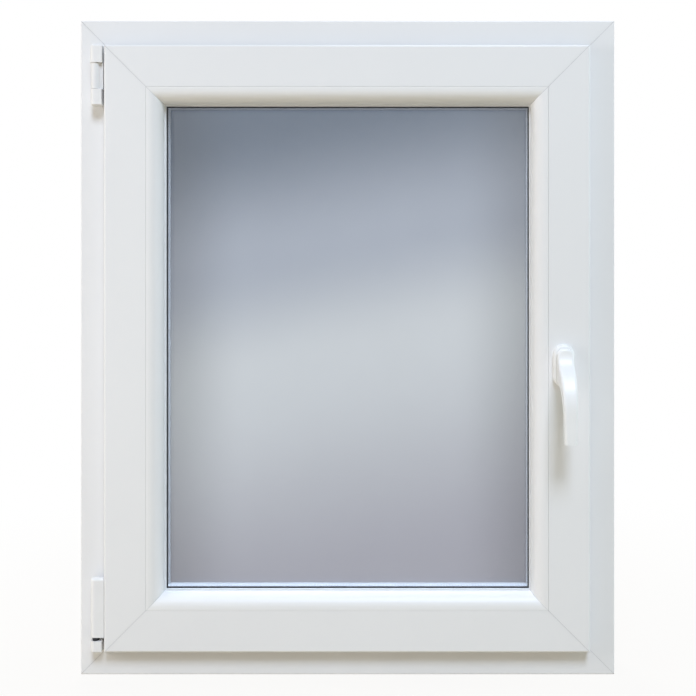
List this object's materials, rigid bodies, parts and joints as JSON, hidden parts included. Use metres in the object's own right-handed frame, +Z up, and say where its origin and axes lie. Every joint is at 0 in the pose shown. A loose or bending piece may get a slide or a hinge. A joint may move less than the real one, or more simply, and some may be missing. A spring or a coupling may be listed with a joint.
{
  "type": "tilt and turn window",
  "caption": "Inward-opening tilt and turn window: white plastic frame, glazed sash hung at the left on exposed hinges, lever handle at the right.",
  "frame": {"origin": "middle of the frame's bottom face, which stands on the sill", "axes": "+X to the right seen from the room, +Y from the room to the outside, +Z up"},
  "size_m": [0.735, 0.148, 0.9],
  "materials": {
    "frame_plastic": "white, satin gloss",
    "sash_plastic": "white, satin gloss",
    "bead_plastic": "white, satin gloss",
    "seal_rubber": "light grey, matt",
    "glass": "clear, polished",
    "edge_sealant": "black, matt",
    "spacer_metal": "bare, satin",
    "hinge_cover": "white, satin gloss",
    "fitting_steel": "silver plated",
    "handle_paint": "white, satin gloss"
  },
  "bodies": {
    "frame": {"frame_bottom_rail": "frame_plastic", "frame_top_rail": "frame_plastic", "frame_hinge_rail": "frame_plastic", "frame_lock_rail": "frame_plastic", "frame_seal": "seal_rubber", "strike_plates": "fitting_steel", "drain_caps": "frame_plastic", "top_hinge_bearing": "hinge_cover", "top_hinge_pin": "fitting_steel", "bottom_hinge_bearing": "hinge_cover"},
    "pivot": {"bottom_hinge_ball": "fitting_steel"},
    "stay": {"stay_arm": "fitting_steel", "stay_slider": "fitting_steel", "stay_cover": "hinge_cover", "top_hinge_cap": "hinge_cover"},
    "handle": {"handle_lever": "handle_paint"},
    "sash": {"sash_bottom_rail": "sash_plastic", "bead_bottom": "bead_plastic", "sash_top_rail": "sash_plastic", "bead_top": "bead_plastic", "sash_hinge_rail": "sash_plastic", "bead_hinge": "bead_plastic", "sash_lock_rail": "sash_plastic", "bead_lock": "bead_plastic", "sash_seal": "seal_rubber", "inner_glazing_seal": "seal_rubber", "outer_glazing_seal": "seal_rubber", "inner_pane": "glass", "outer_pane": "glass", "edge_seal": "edge_sealant", "spacer_bar": "spacer_metal", "bottom_hinge_band": "hinge_cover", "faceplates": "fitting_steel", "locking_pins": "fitting_steel", "handle_rosette": "handle_paint"}
  },
  "joints": [
    {"name": "sash_turn", "type": "hinge", "parent": "frame", "child": "pivot", "pos_m": [-0.343, -0.0458, 0.054], "axis": [0, 0, -1], "range_deg": [0, 100]},
    {"name": "sash_tilt", "type": "hinge", "parent": "pivot", "child": "sash", "pos_m": [-0.343, -0.0458, 0.054], "axis": [-1, 0, 0], "range_deg": [-8, 0]},
    {"name": "stay_swing", "type": "hinge", "parent": "pivot", "child": "stay", "pos_m": [-0.343, -0.0458, 0.825], "axis": [0, 0, -1], "range_deg": [0, 23]},
    {"name": "handle_turn", "type": "hinge", "parent": "sash", "child": "handle", "pos_m": [0.2933, -0.0634, 0.427], "axis": [0, -1, 0], "range_deg": [-180, 0]}
  ],
  "couplings": [
    {"joint": "stay_swing", "follows": "sash_tilt", "ratio": -2.85}
  ]
}
